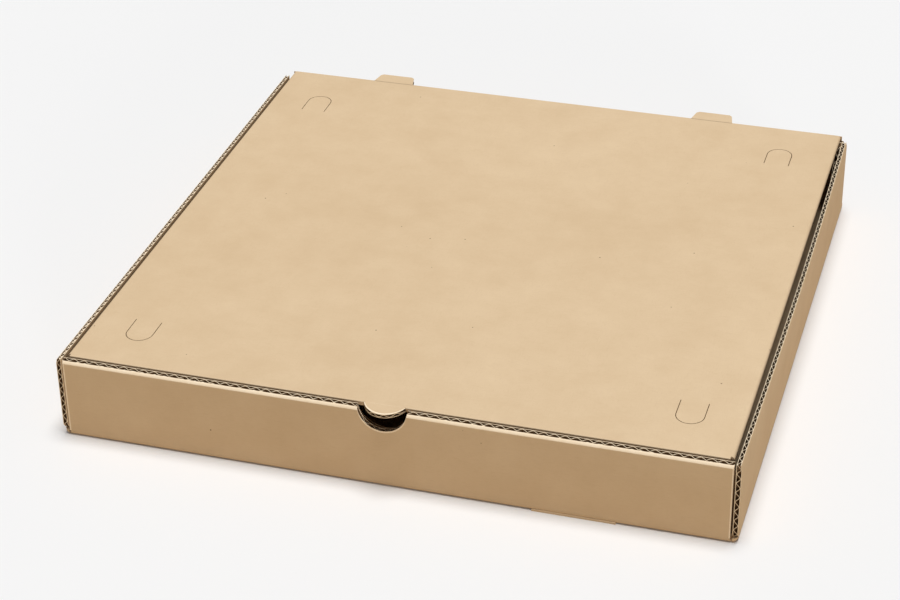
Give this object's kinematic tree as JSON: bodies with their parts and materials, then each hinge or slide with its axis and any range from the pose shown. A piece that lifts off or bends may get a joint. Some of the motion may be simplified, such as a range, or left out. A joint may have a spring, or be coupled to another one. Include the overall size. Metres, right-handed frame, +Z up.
{
  "type": "pizza box",
  "caption": "Flat square box of corrugated kraft board with a hinged tuck-in lid, a finger notch and tongue at the front, and U-shaped slits in the lid.",
  "frame": {"origin": "middle of the floor's underside", "axes": "+X along the front wall to the right as seen from the front, +Y from the front wall to the rear crease, +Z up"},
  "size_m": [0.414, 0.4218, 0.0542],
  "materials": {
    "tray_board": "matt kraft paper",
    "lid_board": "matt kraft paper"
  },
  "bodies": {
    "tray": {"tray": "tray_board"},
    "lid": {"lid": "lid_board"}
  },
  "joints": [
    {"name": "lid_hinge", "type": "hinge", "parent": "tray", "child": "lid", "pos_m": [0, 0.203, 0.0542], "axis": [-1, 0, 0], "range_deg": [0, 180]}
  ]
}
